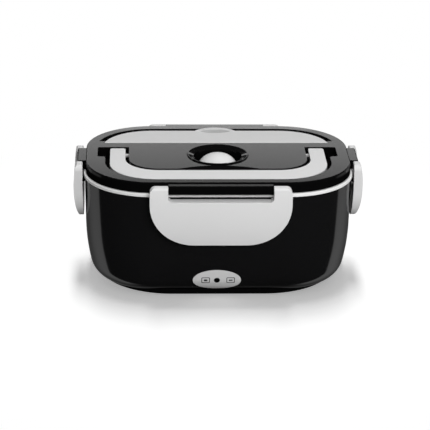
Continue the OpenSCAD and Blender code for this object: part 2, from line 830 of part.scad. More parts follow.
// Black lid: crowned edge, skirt, and the pockets for handle, vent and spoon.
module lid_shell() {
    color(black) difference() {
        union() {
            difference() {
                union() {
                    around() polygon(concat(
                        [[0, skirt_z], at(0, skirt_z)],
                        arc([corner_r - lid_edge, lid_top - lid_edge], lid_edge, 0, 90),
                        [[0, lid_top]]));
                    middle(skirt_z, lid_top);
                    translate([0, 0, pan_z]) linear_extrude(pan_h + eps) outline(pan_in);
                    for (side = SIDES) at_side(side) hinge_bar(is_long(side) ? bar_half : side_bar_half);
                    translate([0, -vent_y, lid_top - 1]) cylinder(r = collar_r, h = 1 + eps);
                    translate([0, -vent_y, lid_top]) cylinder(r1 = collar_r, r2 = collar_r - 0.6, h = collar_h);
                }
                translate([0, 0, skirt_z - 1]) linear_extrude(1 + seal_h + gap) difference() {
                    outline(lid_t);
                    outline(groove_in);
                }
                translate([0, 0, pan_z - 1]) linear_extrude(lid_top - lid_t - pan_z + 1) outline(pan_in + pocket_t);
            }
            intersection() {
                union() {
                    translate([0, 0, pan_z]) linear_extrude(lid_top - 1 - pan_z) difference() {
                        outline(pan_in + eps);
                        outline(pan_in + pocket_t);
                    }
                    translate([0, 0, recess_z - pocket_t]) linear_extrude(lid_top - 1 - recess_z + pocket_t) recess_plan(pocket_t);
                    translate([0, 0, slot_z - pocket_t]) linear_extrude(lid_top - slot_z) slot_plan(pocket_t);
                    translate([0, 0, spoon_floor - pocket_t]) linear_extrude(lid_top - spoon_floor) spoon_plan(pocket_t);
                    tail_pocket(pocket_t);
                    well(pocket_t);
                    for (m = [0, 1]) mirror([m, 0, 0]) translate([plateau_half - 4.4, pivot_y, pivot_z])
                        rotate([0, 90, 0]) cylinder(r = stud_r + 1.8, h = 4);
                }
                translate([0, 0, pan_z]) linear_extrude(lid_top - 1 - pan_z) outline(pan_in);
            }
        }
        translate([0, 0, handle_z - 0.6]) linear_extrude(handle_t + 5) recess_plan(0);
        tail_pocket(0);
        for (m = [0, 1]) mirror([m, 0, 0]) translate([plateau_half - 3, pivot_y, pivot_z]) rotate([0, 90, 0])
            cylinder(r = stud_r + fit, h = 4);
        scoop();
        well(0);
        translate([0, -vent_y, lid_top + collar_h - funnel_h]) cylinder(r1 = well_r, r2 = well_r + funnel_w, h = funnel_h);
        translate([0, -vent_y, lid_top + collar_h - eps]) cylinder(r = well_r + funnel_w, h = 1);
        translate([0, -vent_y, pan_z - 1]) cylinder(r = vent_hole_r, h = lid_top - pan_z);
        translate([0, 0, slot_z]) linear_extrude(lid_top) slot_plan(0);
        translate([0, 0, spoon_floor]) linear_extrude(lid_top) spoon_plan(0);
        translate([0, 0, cover_z - 0.8]) linear_extrude(lid_top) tab_plan(1.2);
        for (m = [0, 1]) mirror([m, 0, 0]) translate([cover_end - 1, cover_axis_y, cover_axis_z]) rotate([0, 90, 0])
            cylinder(r = cover_stub_r + fit, h = 4);
    }
}

// Finger scoop in the plateau's edge, under the middle of the handle's bar.
module scoop() {
    r = 72;
    edge = inner_y + 10.7;
    translate([0, edge - r, recess_z]) intersection() {
        cylinder(r1 = r - 7, r2 = r, h = lid_top - recess_z + eps);
        translate([0, r - 6, 0]) cube([90, 14, 40], center = true);
    }
}

// Flat panel that closes the lid's hollow underside.
module inner_lid() {
    color(white) translate([0, 0, pan_z - inner_t - fit]) linear_extrude(inner_t) difference() {
        outline(pan_in);
        translate([0, -vent_y]) circle(vent_hole_r);
    }
}

// Silicone ring that presses on the food tray's flange.
module lid_seal() {
    color("#dedede") around() polygon([at(seal_in, skirt_z), at(seal_in, skirt_z + seal_h),
        at(seal_in + seal_w, skirt_z + seal_h), at(seal_in + seal_w, skirt_z + 0.8), at(seal_in + seal_w - 0.8, skirt_z)]);
}

// White vent plug: dome, stem and the barb that keeps it in the lid.
module vent_plug() {
    dome_z = well_z + gap;
    barb_z = pan_z - inner_t - fit - plug_lift - gap;
    color(white) translate([0, -vent_y, 0]) rotate_extrude() polygon(concat(
        [[0, dome_z + dome_h]],
        [for (a = [80:-10:0]) [dome_r * cos(a), dome_z + dome_h * sin(a)]],
        [[stem_r, dome_z], [stem_r, barb_z], [stem_r + 1.6, barb_z], [stem_r, barb_z - 2.4], [0, barb_z - 2.4]]));
}

// White carrying handle: a flat bow with round bosses and studs at its tails.
module carry_handle() {
    color(white) union() {
        translate([0, 0, handle_z]) linear_extrude(handle_t) difference() {
            u_plan(handle_half, handle_y, handle_r, tail_y);
            u_plan(inner_half, inner_y, inner_r, tail_y + 1);
        }
        for (m = [0, 1]) mirror([m, 0, 0]) {
            translate([inner_half, pivot_y, pivot_z]) rotate([0, 90, 0]) cylinder(r = boss_r, h = arm_w);
            translate([plateau_half - 2.6, pivot_y, pivot_z]) rotate([0, 90, 0])
                cylinder(r = stud_r, h = inner_half - plateau_half + 2.6 + eps);
        }
    }
}

// White lid of the spoon's compartment, hinged at its straight front edge.
module spoon_cover() {
    color(white) union() {
        difference() {
            union() {
                translate([0, 0, cover_z]) linear_extrude(spoon_cover_t) cover_plan(cover_in);
                translate([0, 0, cover_z]) linear_extrude(spoon_cover_t + 0.6) tab_plan(0);
                translate([0, 0, slot_z + gap]) linear_extrude(cover_z - slot_z - gap + eps) intersection() {
                    difference() {
                        outline(cover_in);
                        outline(cover_in + rim_w);
                    }
                    translate([-half_w, slot_y]) square([lid_w, half_d]);
                }
            }
            translate([0, 0, lid_top - 0.7]) linear_extrude(4) intersection() {
                translate([0, half_d - cover_in - 21.5]) circle(24);
                translate([0, half_d - cover_in + 18]) circle(24);
            }
        }
        along(-cover_end + 0.5, cover_end - 0.5) translate([cover_axis_y, cover_axis_z]) circle(cover_barrel_r);
        along(-cover_end - 1.4, cover_end + 1.4) translate([cover_axis_y, cover_axis_z]) circle(cover_stub_r);
    }
}

module cover_plan(inset) {
    intersection() {
        outline(inset);
        translate([-half_w, cover_axis_y]) square([lid_w, half_d]);
    }
}

// Steel spoon stowed under the cover.
module spoon() {
    z = spoon_floor + gap;
    y = cover_y + 14.5;
    bowl_r = 60;
    color(steel) translate([-52, y, z]) union() {
        intersection() {
            translate([0, 0, bowl_r]) difference() {
                sphere(r = bowl_r);
                sphere(r = bowl_r - 1.1);
            }
            linear_extrude(5.2) intersection() {
                translate([0, 14.5]) circle(27.5);
                translate([0, -14.5]) circle(27.5);
            }
        }
        translate([0, 0, 3.6]) linear_extrude(1.3) difference() {
            union() {
                polygon([[19, -3.4], [60, -3.2], [122, -6], [122, 6], [60, 3.2], [19, 3.4]]);
                translate([122, 0]) circle(6);
            }
            translate([122, 0]) circle(2);
        }
    }
}

// A latch seen from its front: small corners on top, round corners at its foot.
module latch_plan(half, foot, inset) {
    tall = latch_h;
    intersection() {
        translate([0, latch_top - latch_h + tall]) rounded(half - inset, tall - inset, foot - inset);
        translate([0, latch_top - tall]) rounded(half - inset, tall - inset, 5 - inset);
    }
}

// Cuts a long edge off at 45 degrees; dir is the side that the edge faces.
module chamfer_edge(half, y, dir, c) {
    along(-half, half) translate([y, latch_top]) polygon([[dir, 1], [dir, -c - 1], [-dir * (c + 1), 1]]);
}

bulge_z = latch_top - latch_h / 2 + bulge_rise;

// Distance of a latch's bulged face from the lid's wall at a height.
function latch_face(out, z) = out - bulge_r + sqrt(pow(bulge_r, 2) - pow(z - bulge_z, 2));

// Section through a latch: bulged face, and a back that follows the shell's lean at the foot.
module latch_section(out, inset) {
    low = latch_top - latch_h - 1;
    intersection() {
        translate([-out + bulge_r, bulge_z]) circle(bulge_r - inset, $fn = 360);
        polygon([[-latch_in, latch_top + 1], [-latch_in, notch_z - 4], [-foot_in, notch_z - 26], [-foot_in, low],
                 [-out - 1, low], [-out - 1, latch_top + 1]]);
    }
}

// Shallow hollow for a finger in the upper part of a latch's face.
module finger_hollow(half, out) {
    r = half * half / (2 * hollow_t);
    translate([0, -latch_face(out, notch_z) + hollow_t - r, notch_z]) rotate([-atan(hollow_t / hollow_h), 0, 0])
        translate([0, 0, -2 * hollow_h]) cylinder(r = r, h = 3 * hollow_h, $fn = 360);
}

hollow_t = 0.7;
hollow_h = 7.5;
hollow_half = 36;

// Clip latch: two ears on stubs, a hollow bulged body and the bar that hooks under the rib.
module latch(half, ear, foot, out) {
    notch = half - ear;
    low = latch_top - latch_h;
    color(white) union() {
        difference() {
            intersection() {
                upright(-out, -foot_in) latch_plan(half, foot, 0);
                along(-half, half) latch_section(out, 0);
            }
            upright(-out - 1, 1) translate([0, notch_z + 20]) rounded(notch, 20, 2.5);
            intersection() {
                upright(-out, 1) intersection() {
                    latch_plan(half, foot, latch_t);
                    translate([-half, low]) square([2 * half, notch_z - latch_t - low]);
                }
                along(-half, half) translate([-out + bulge_r, bulge_z]) circle(bulge_r - latch_t, $fn = 360);
            }
            chamfer_edge(half + 1, -latch_in, 1, 0.8);
            chamfer_edge(half + 1, -latch_face(out, latch_top), -1, 1.2);
            if (half > hollow_half + 10) finger_hollow(hollow_half, out);
        }
        for (m = [0, 1]) mirror([m, 0, 0]) translate([notch - stub_l, -axis_out, axis_z]) rotate([0, 90, 0])
            cylinder(r = stub_r, h = stub_l + eps);
        along(-notch + 7, notch - 7) polygon([[-hook_tip, hook_z], [-out + 1.6, hook_z], [-out + 1.6, hook_z - 5],
            [-hook_tip - 1.6, hook_z - 2.4], [-hook_tip, hook_z - 1.6]]);
    }
}

module latch_front() { at_side("front") latch(latch_w / 2, ear_w, latch_r, latch_out); }
module latch_rear() { at_side("rear") latch(latch_w / 2, ear_w, latch_r, latch_out); }
module latch_left() { at_side("left") latch(side_latch_w / 2, side_ear_w, side_latch_r, side_latch_out); }
module latch_right() { at_side("right") latch(side_latch_w / 2, side_ear_w, side_latch_r, side_latch_out); }

outer_shell();
bottom_cover();
rubber_feet();
cover_screws();
inner_liner();
heater_plate();
plate_gasket();
plate_nuts();
ptc_heaters();
heater_clamp();
thermal_fuse();
thermostat();
heater_leads();
lamp_leads();
mains_inlet();
inlet_pins();
indicator_plate();
lamp_lens();
lamp();
lamp_board();
food_tray();
side_tray();
lid_shell();
inner_lid();
lid_seal();
vent_plug();
carry_handle();
spoon_cover();
spoon();
latch_front();
latch_rear();
latch_left();
latch_right();
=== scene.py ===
import json
import math

import bmesh
import bpy
from mathutils import Matrix, Vector

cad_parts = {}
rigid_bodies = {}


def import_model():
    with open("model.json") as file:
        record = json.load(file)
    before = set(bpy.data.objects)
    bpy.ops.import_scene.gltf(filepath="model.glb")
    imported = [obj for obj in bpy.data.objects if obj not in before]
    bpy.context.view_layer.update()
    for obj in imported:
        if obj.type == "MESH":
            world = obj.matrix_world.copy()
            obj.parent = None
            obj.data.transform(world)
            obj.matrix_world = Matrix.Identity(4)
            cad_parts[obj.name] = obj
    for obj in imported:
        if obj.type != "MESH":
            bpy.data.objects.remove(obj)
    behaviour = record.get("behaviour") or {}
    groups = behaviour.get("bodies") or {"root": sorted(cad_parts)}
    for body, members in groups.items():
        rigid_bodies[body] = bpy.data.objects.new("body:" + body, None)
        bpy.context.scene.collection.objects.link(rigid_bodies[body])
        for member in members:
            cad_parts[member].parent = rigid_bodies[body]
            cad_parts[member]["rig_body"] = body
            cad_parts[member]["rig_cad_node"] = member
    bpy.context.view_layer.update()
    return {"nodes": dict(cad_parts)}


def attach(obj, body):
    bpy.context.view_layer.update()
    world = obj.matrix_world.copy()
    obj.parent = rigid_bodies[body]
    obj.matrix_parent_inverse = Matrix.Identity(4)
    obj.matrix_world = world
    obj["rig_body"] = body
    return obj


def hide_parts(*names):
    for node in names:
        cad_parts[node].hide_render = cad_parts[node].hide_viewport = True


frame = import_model()

bl_info = {
    "name": "Electric lunch box",
    "version": (1, 0, 0),
    "blender": (4, 5, 0),
    "location": "View3D > Sidebar > Lunch box",
    "description": "Models and dresses an oval electric lunch box with clip latches on its solid frame",
    "category": "Add Mesh",
}

# Lengths are in metres and angles in degrees.
# A ramp is four numbers: two readings, then what it gives at each of them.

# Section through the shell's wall
SHELL_REACH = 0.0009  # how far its top stands out past the lid's outline
SHELL_T = 0.0024  # thickness
SHELL_TOP = 0.0891
SHELL_Z = 0.0048  # underside of its floor
SHELL_DRAFT = 1.1
CURVE_Z = 0.0497  # where the straight wall turns into the long curve
CURVE_R = 0.160
CURVE_STEPS = 14
ROUND_Z = 0.0171  # where the long curve turns into the tight round
ROUND_R = 0.0185
ROUND_STEPS = 12
FLOOR_W = 0.010  # width of the floor's ring, open in the middle
EDGE_BREAK = (0.0004, 0.0001)  # how far the top edge is cut back, at the cut's ends and in its middle
PLAN_STEPS = 28  # steps round a corner of the plan

# Ribs for the latches' hooks: section as distance inwards from the lid's outline and height, then half widths
RIB = ((0.0009, 0.080), (-0.0036, 0.080), (-0.0036, 0.0812), (0.0, 0.0832), (0.0009, 0.0832))
LONG_RIB = 0.0357
SHORT_RIB = 0.0097

# Mains inlet at the rear: two opposite corners of each box, then the radius of its edges
INLET_FACE = 0.0641
INLET_FRAME = ((-0.0172, 0.0615, 0.0073), (0.0172, 0.0665, 0.0287), 0.006)
INLET_POCKET = ((-0.0148, INLET_FACE, 0.0097), (0.0148, 0.08, 0.0263), 0.0038)
INLET_HOLE = ((-0.0103, 0.058, 0.0122), (0.0103, INLET_FACE + 0.001, 0.0238), 0.002)

# Small roundings of the moulded edges
BASE_ROUND = 0.0003
VENT_ROUND = 0.0002
COVER_ROUND = 0.0004
PLATE_ROUND = 0.00025
BEVEL_ANGLE = 32  # edges that turn by more than this are rounded
BEVEL_STEPS = 3
CORNER_STEPS = 6  # steps round a corner that is rounded by hand
SMOOTH_ANGLE = 35
BODY_SMOOTH = 30
FACE_WEIGHT = 80  # how much a face's size counts in the shading

# Corners that are rounded by hand: the handle's tails, and the lid's pockets on both sides
TAIL_ROUND = 0.0022
TAIL_HEIGHT = 0.001  # the least height of such an edge
POCKET_CORNER = (0.0922, -0.0082)
POCKET_ROUND = 0.0025
POCKET_HEIGHT = 0.002
POCKET_NEAR = 0.0004

# Finger tab's hollow on the spoon cover: its shape, and the painted shade in it
HOLLOW_Z = 0.1003
HOLLOW_FRONT = 0.0530
HOLLOW_SHARE = (0.9, 0.75, 1)  # how much of its floor stays at the bottom, along X, Y and Z
HOLLOW_DROP = 0.0005
HOLLOW_CENTRES = (0.0375, 0.0770)  # centres of the two circles between which it lies
HOLLOW_SHADE_EDGE = (0.0234, 0.0241, 1.0, 0.0)  # ramp by the distance from such a centre, which masks the painted shade in the hollow
# Grey multiplied into the cover's white in the hollow: painted shade, not the plastic's own colour
HOLLOW_PAINTED_SHADE = 0.6

# Upper edge of the latches' plates
LATCH_TOP = 0.0887
LATCH_DROP = 0.0006

# Prints on the indicator plate: half width, half height and corner radius
BADGE_X = -0.001
BADGE_Z = 0.0162
ICON_X = 0.0101
ICON_FRAME = (0.0034, 0.0027, 0.0009)
ICON_DOT = (0.0015, 0.0009, 0.0008)
ICON_BAR = (0.0016, 0.0006, 0.0005)
ICON_STEPS = 5
PRINT_CUTS = 3  # let a print follow the plate's curve
PRINT_START = -0.09  # in front of the plate, from where a print is pushed back onto it
PRINT_LIFT = 0.00003
PRINT_T = 0.00006

# How close counts as the same
TOUCH = 1e-5
NEAR = 0.0002
LEVEL = 0.99  # upward part of a level face's normal
WELD = 1e-6
CAD_WELD = 2e-6
CAD_FLAT = 0.3  # the frame's faces that turn by less than this become one

# Noise in the finishes: patterns per metre and detail, then how much it changes the surface
CLOUD = (28, 2)
WEAR = (340, 4)
GRAIN_DETAIL = 2
NOISE_SPAN = (0.3, 0.7)  # the part of a noise's range that is used
WEAR_SHARE = 0.12  # share by which the roughness drifts
RELIEF = 0.0002  # depth of the grain
BRUSHED = (30, 1400, 1400)
UNBRUSHED = (400, 400, 400)
BRUSH_DETAIL = 3
BRUSH_WEAR = (0.75, 1.3)  # least and greatest share of steel's roughness
BRUSH_DARK = 0.93
BRUSH_RELIEF = 0.05

# Places in the node editor: a row for each thing that noise changes, and columns along it
TONE_ROW = 300
GLOSS_ROW = 0
RELIEF_ROW = -300
PLACE_COLUMN = -1100
NOISE_COLUMN = -900
VALUE_COLUMN = -600
BUMP_COLUMN = -300

# Ramps that paint the lid's reflections: weaker on upright walls, painted shade in the deep pockets under
# this height, a painted sheen towards the rear rim and dimmer reflections towards the front rim
LID_PAINTED_GLOSS_FACING = (0.3, 0.85, 0.08, 0.5)
LID_POCKET_PAINTED_SHADE = (0.0975, 0.0995, 0.0, 1.0)
LID_REAR_PAINTED_SHEEN = (0.058, 0.066, 1.0, 3.0)
LID_FRONT_PAINTED_SHADE = (-0.071, -0.058, 0.6, 1.0)

# Suns behind the object, from nearly overhead down: height and share of the power
TOP_POWER = 1.5
TOP_LIGHT = ((86, 0.27), (79.5, 0.17), (73, 0.17), (67, 0.18), (61, 0.12), (55, 0.09))
SUN_SIZE = 8

# Soft boxes: place, width, depth and power
BOX_TARGET = (0, 0, 0.05)
FRONT_BOX = ((0.30, -1.52, 0.93), 0.8, 0.6, 20.0)
SIDE_BOX = ((1.55, -0.55, 0.60), 0.6, 0.6, 5.0)

# Floor
FLOOR_SIZE = 6
FLOOR_WHITE = 1.7
FLOOR_FADE = (0.20, 0.34, 0.35, 1.0)  # ramp by the distance from the middle: share of plain white
FLOOR_BOUNCE = (-0.16, -0.06, 0.4, 0.8)  # ramp from left to right: light thrown back at the object

# Room: ramps by the direction of a ray. Fill light, by how far the ray looks to the right
FILL = (-0.9, 0.1, 0.15, 0.24)
# Rear wall in the gloss, twice by how high the ray looks and then by how far to the rear
WALL_TOP = (0.30, 0.342, 2.2, 0.0)
WALL_FOOT = (0.24, 0.30, 0.0, 1.0)
WALL_FRONT = (0.1, 0.6, 0.15, 1.0)
# Side strips in the gloss, twice by the ray's turn to the rear in radians and twice by its height
STRIP_NEAR = (0.17, 0.22, 0.0, 1.0)
STRIP_FAR = (0.10, 1.10, 1.0, 0.1)
STRIP_TOP = (-0.02, 0.04, 1.0, 0.0)
STRIP_FOOT = (-1.0, -0.9, 0.0, 1.0)
ROOM_LIGHT = 0.03

# Camera as it stood for the photograph
CAMERA_PLACE = (-0.0706, -1.6867, 0.6758)
CAMERA_TURN = (-2.35, 20.44, 0.75)  # round the object, above the floor, and rolled
CAMERA_FOCUS = 2164.6  # in pixels of the picture
PICTURE_WIDTH = 430
SENSOR_WIDTH = 36  # in millimetres
CAMERA_REACH = (0.05, 30)


class LunchboxSizes(bpy.types.PropertyGroup):
    """Sizes of the pieces that are modelled here."""

    lid_width: bpy.props.FloatProperty(
        name="Lid width", description="Lid from side to side",
        default=0.216, unit="LENGTH")
    lid_depth: bpy.props.FloatProperty(
        name="Lid depth", description="Lid from front to back",
        default=0.1454, unit="LENGTH")
    corner: bpy.props.FloatProperty(
        name="Corner radius", description="Plan radius of the lid's corners",
        default=0.055, unit="LENGTH")
    edge_round: bpy.props.FloatProperty(
        name="Edge rounding", description="Rounding of the lid's edges",
        default=0.0005, unit="LENGTH")
    latch_round: bpy.props.FloatProperty(
        name="Latch rounding", description="Rounding of the latches' edges",
        default=0.0011, unit="LENGTH")
    handle_round: bpy.props.FloatProperty(
        name="Handle rounding", description="Rounding of the handle's edges",
        default=0.0012, unit="LENGTH")
    icon_line: bpy.props.FloatProperty(
        name="Icon line", description="Width of the lines printed on the indicator plate",
        default=0.0006, unit="LENGTH")


class LunchboxColours(bpy.types.PropertyGroup):
    """Colours of the plastics, metals and prints."""

    shell: bpy.props.FloatVectorProperty(
        name="Shell", description="Glossy black of the body",
        size=3, subtype="COLOR", default=(0.0052, 0.0052, 0.0055))
    lid: bpy.props.FloatVectorProperty(
        name="Lid", description="Satin black of the lid",
        size=3, subtype="COLOR", default=(0.0026, 0.0026, 0.0027))
    white: bpy.props.FloatVectorProperty(
        name="White", description="White plastic of the latches, handle and vent plug",
        size=3, subtype="COLOR", default=(0.72, 0.72, 0.72))
    cover: bpy.props.FloatVectorProperty(
        name="Cover", description="White plastic of the spoon cover",
        size=3, subtype="COLOR", default=(0.65, 0.65, 0.65))
    band: bpy.props.FloatVectorProperty(
        name="Liner", description="White plastic of the liner and its rim band",
        size=3, subtype="COLOR", default=(0.82, 0.82, 0.815))
    tray: bpy.props.FloatVectorProperty(
        name="Trays", description="Milky plastic of the food trays",
        size=3, subtype="COLOR", default=(0.72, 0.73, 0.73))
    plate: bpy.props.FloatVectorProperty(
        name="Indicator plate", description="Grey of the indicator plate",
        size=3, subtype="COLOR", default=(0.64, 0.64, 0.64))
    steel: bpy.props.FloatVectorProperty(
        name="Steel", description="Heater plate, clamp strips and spoon",
        size=3, subtype="COLOR", default=(0.62, 0.62, 0.63))


def sizes():
    return bpy.context.scene.lunchbox_sizes


def colours():
    return bpy.context.scene.lunchbox_colours


# Mesh helpers


def only(obj):
    """Selects one object and makes it the active one."""
    bpy.ops.object.select_all(action="DESELECT")
    obj.select_set(True)
    bpy.context.view_layer.objects.active = obj


def edit(obj):
    """Opens a mesh in edit mode with all of it selected."""
    only(obj)
    bpy.ops.object.mode_set(mode="EDIT")
    bpy.ops.mesh.select_mode(type="VERT")
    bpy.ops.mesh.select_all(action="SELECT")


def leave():
    """Goes back to object mode, if a mesh is still open."""
    if bpy.context.object and bpy.context.object.mode == "EDIT":
        bpy.ops.object.mode_set(mode="OBJECT")


def choose(obj, kind, test):
    """Selects the edges or faces of the mesh in edit mode for which test is true."""
    bpy.ops.mesh.select_mode(type=kind)
    bpy.ops.mesh.select_all(action="DESELECT")
    mesh = bmesh.from_edit_mesh(obj.data)
    chosen = [item for item in {"EDGE": mesh.edges, "FACE": mesh.faces}[kind] if test(item)]
    for item in chosen:
        item.select_set(True)
    mesh.select_flush_mode()
    bmesh.update_edit_mesh(obj.data)
    if not chosen:
        raise RuntimeError(f"nothing to select on {obj.name}")


def upright(edge, height):
    """True for an upright edge of more than this height."""
    a, b = edge.verts[0].co, edge.verts[1].co
    return abs(a.x - b.x) < TOUCH and abs(a.y - b.y) < TOUCH and abs(a.z - b.z) > height


def level_at(face, height):
    """True for a level face that looks up at this height."""
    return face.normal.z > LEVEL and abs(face.calc_center_median().z - height) < NEAR


def smooth(obj, angle=SMOOTH_ANGLE):
    """Shades an object smooth, apart from edges that turn by more than the angle."""
    only(obj)
    bpy.ops.object.shade_smooth_by_angle(angle=math.radians(angle), keep_sharp_edges=False)


def use(obj, kind, **values):
    """Adds a modifier, sets it and applies it."""
    only(obj)
    modifier = obj.modifiers.new(kind.title(), kind)
    for key, value in values.items():
        setattr(modifier, key, value)
    bpy.ops.object.modifier_apply(modifier=modifier.name)


def moulded(node, name, body, width, shape=None):
    """A CAD node's copy, shaped further and with its edges rounded, which then stands for the node."""
    source = frame["nodes"][node]
    piece = source.copy()
    piece.data = source.data.copy()
    piece.name = name
    piece.parent = None
    bpy.context.scene.collection.objects.link(piece)
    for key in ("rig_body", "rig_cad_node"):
        if key in piece:
            del piece[key]
    edit(piece)
    bpy.ops.mesh.remove_doubles(threshold=CAD_WELD)
    bpy.ops.mesh.dissolve_limited(angle_limit=math.radians(CAD_FLAT))
    if shape:
        shape(piece)
    leave()
    use(piece, "BEVEL", width=width, segments=BEVEL_STEPS, limit_method="ANGLE",
        angle_limit=math.radians(BEVEL_ANGLE), use_clamp_overlap=True, miter_outer="MITER_ARC",
        harden_normals=False)
    smooth(piece)
    use(piece, "WEIGHTED_NORMAL", keep_sharp=True, weight=FACE_WEIGHT)
    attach(piece, body)
    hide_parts(node)
    return piece


def finish(piece, material):
    """Puts a finish on a piece."""
    piece.data.materials.clear()
    piece.data.materials.append(material)


# Modelling by hand


def seed(name, point):
    """A mesh of one vertex, from which an outline is drawn by extruding."""
    bpy.ops.object.select_all(action="DESELECT")
    bpy.ops.mesh.primitive_plane_add()
    piece = bpy.context.object
    piece.name = name
    edit(piece)
    bpy.ops.mesh.merge(type="CENTER")
    bpy.ops.transform.translate(value=point)
    return piece


def draw(points):
    """Extrudes the selected vertex from point to point, and joins the last one to the first."""
    for before, after in zip(points, points[1:]):
        step = tuple(b - a for a, b in zip(before, after))
        bpy.ops.mesh.extrude_region_move(TRANSFORM_OT_translate={"value": step})
    bpy.ops.mesh.select_all(action="DESELECT")
    mesh = bmesh.from_edit_mesh(bpy.context.object.data)
    for vert in mesh.verts:
        if len(vert.link_edges) == 1:
            vert.select_set(True)
    bmesh.update_edit_mesh(bpy.context.object.data)
    bpy.ops.mesh.edge_face_add()
    bpy.ops.mesh.select_all(action="SELECT")


def carry_round(cx, cy):
    """Carries the selected section, drawn at the right rear corner, round the oval plan."""
    corners = (1, 1), (-1, 1), (-1, -1), (1, -1)
    runs = (-2 * cx, 0, 0), (0, -2 * cy, 0), (2 * cx, 0, 0), (0, 2 * cy, 0)
    for (sx, sy), run in zip(corners, runs):
        bpy.ops.mesh.spin(
            steps=PLAN_STEPS, angle=-math.pi / 2, center=(sx * cx, sy * cy, 0), axis=(0, 0, 1))
        bpy.ops.mesh.extrude_region_move(TRANSFORM_OT_translate={"value": run})
    bpy.ops.mesh.select_all(action="SELECT")
    bpy.ops.mesh.remove_doubles(threshold=WELD)
    bpy.ops.mesh.normals_make_consistent(inside=False)


def arc(centre, radius, start, end, steps):
    """Points along an arc, with angles in radians."""
    turn = [start + (end - start) * i / steps for i in range(steps + 1)]
    return [(centre[0] + radius * math.cos(a), centre[1] + radius * math.sin(a)) for a in turn]


def bar(name, section, width):
    """A bar along X, of twice this width, whose section is given in Y and Z."""
    points = [(-width, y, z) for y, z in section]
    piece = seed(name, points[0])
    draw(points)
    bpy.ops.mesh.edge_face_add()
    bpy.ops.mesh.extrude_region_move(TRANSFORM_OT_translate={"value": (2 * width, 0, 0)})
    bpy.ops.mesh.select_all(action="SELECT")
    bpy.ops.mesh.normals_make_consistent(inside=False)
    return piece


def block(name, low, high, radius):
    """A box between two corners, whose edges along Y are rounded."""
    bpy.ops.object.select_all(action="DESELECT")
    bpy.ops.mesh.primitive_cube_add(size=1)
    piece = bpy.context.object
    piece.name = name
    edit(piece)
    bpy.ops.transform.resize(value=tuple(b - a for a, b in zip(low, high)), center_override=(0, 0, 0))
    bpy.ops.transform.translate(value=tuple((a + b) / 2 for a, b in zip(low, high)))
    half = (high[1] - low[1]) / 2
    choose(piece, "EDGE", lambda edge: abs(edge.verts[0].co.y - edge.verts[1].co.y) > half)
    bpy.ops.mesh.bevel(offset=radius, segments=CORNER_STEPS)
    leave()
    return piece


def twin(piece):
    """A copy of a piece, with its own mesh."""
    leave()
    copy = piece.copy()
    copy.data = piece.data.copy()
    bpy.context.scene.collection.objects.link(copy)
    return copy


def combine(piece, tool, operation):
    """Unites a piece with a tool, or cuts the tool out of it, and removes the tool."""
    leave()
    use(piece, "BOOLEAN", object=tool, operation=operation, solver="EXACT")
    bpy.data.objects.remove(tool)


# Node helpers


def new_material(name):
    """A new material with its nodes, or the one that already has this name, without them."""
    material = bpy.data.materials.get(name)
    if material:
        return material, None
    material = bpy.data.materials.new(name)
    material.use_nodes = True
    return material, material.node_tree


def noise(tree, scale, detail, row):
    """Noise that stays on the piece as it moves."""
    coordinates = tree.nodes.new("ShaderNodeTexCoord")
    coordinates.location = (PLACE_COLUMN, row)
    texture = tree.nodes.new("ShaderNodeTexNoise")
    texture.location = (NOISE_COLUMN, row)
    texture.inputs["Scale"].default_value = scale
    texture.inputs["Detail"].default_value = detail
    tree.links.new(coordinates.outputs["Object"], texture.inputs["Vector"])
    return texture.outputs["Fac"]


def ramp(tree, value, span, kind="SMOOTHSTEP"):
    """A value carried from one range into another, softly or in a straight line."""
    node = tree.nodes.new("ShaderNodeMapRange")
    node.location = (VALUE_COLUMN, GLOSS_ROW)
    node.interpolation_type = kind
    for name, number in zip(("From Min", "From Max", "To Min", "To Max"), span):
        node.inputs[name].default_value = number
    tree.links.new(value, node.inputs["Value"])
    return node.outputs["Result"]


def calc(tree, operation, a, b=0.0):
    """One step of arithmetic on two values, each of them a socket or a number."""
    node = tree.nodes.new("ShaderNodeMath")
    node.operation = operation
    for socket, value in zip(node.inputs, (a, b)):
        if isinstance(value, (int, float)):
            socket.default_value = value
        else:
            tree.links.new(value, socket)
    return node.outputs["Value"]


def split(tree, vector):
    """The three parts of a vector."""
    node = tree.nodes.new("ShaderNodeSeparateXYZ")
    tree.links.new(vector, node.inputs["Vector"])
    return node.outputs["X"], node.outputs["Y"], node.outputs["Z"]


def tint(tree, value, low, high):
    """A colour between two, by a value from 0 to 1."""
    node = tree.nodes.new("ShaderNodeMix")
    node.data_type = "RGBA"
    node.location = (VALUE_COLUMN, TONE_ROW)
    node.inputs["A"].default_value = (*low, 1)
    node.inputs["B"].default_value = (*high, 1)
    tree.links.new(value, node.inputs["Factor"])
    return node.outputs["Result"]


def relief(tree, height, strength):
    """Fine relief on the main shader."""
    bump = tree.nodes.new("ShaderNodeBump")
    bump.location = (BUMP_COLUMN, RELIEF_ROW)
    bump.inputs["Strength"].default_value = strength
    bump.inputs["Distance"].default_value = RELIEF
    tree.links.new(height, bump.inputs["Height"])
    tree.links.new(bump.outputs["Normal"], tree.nodes["Principled BSDF"].inputs["Normal"])


def blend(tree, share, first, second):
    """A mix of two shaders, with the second one's share."""
    node = tree.nodes.new("ShaderNodeMixShader")
    tree.links.new(share, node.inputs["Fac"])
    tree.links.new(first, node.inputs[1])
    tree.links.new(second, node.inputs[2])
    return node.outputs["Shader"]


def light_path(tree):
    """Two shares: what is seen straight, also through a clear piece, and what is seen in gloss."""
    path = tree.nodes.new("ShaderNodeLightPath")
    direct = calc(tree, "MAXIMUM", path.outputs["Is Camera Ray"], path.outputs["Is Transmission Ray"])
    return direct, path.outputs["Is Glossy Ray"]


# Finishes


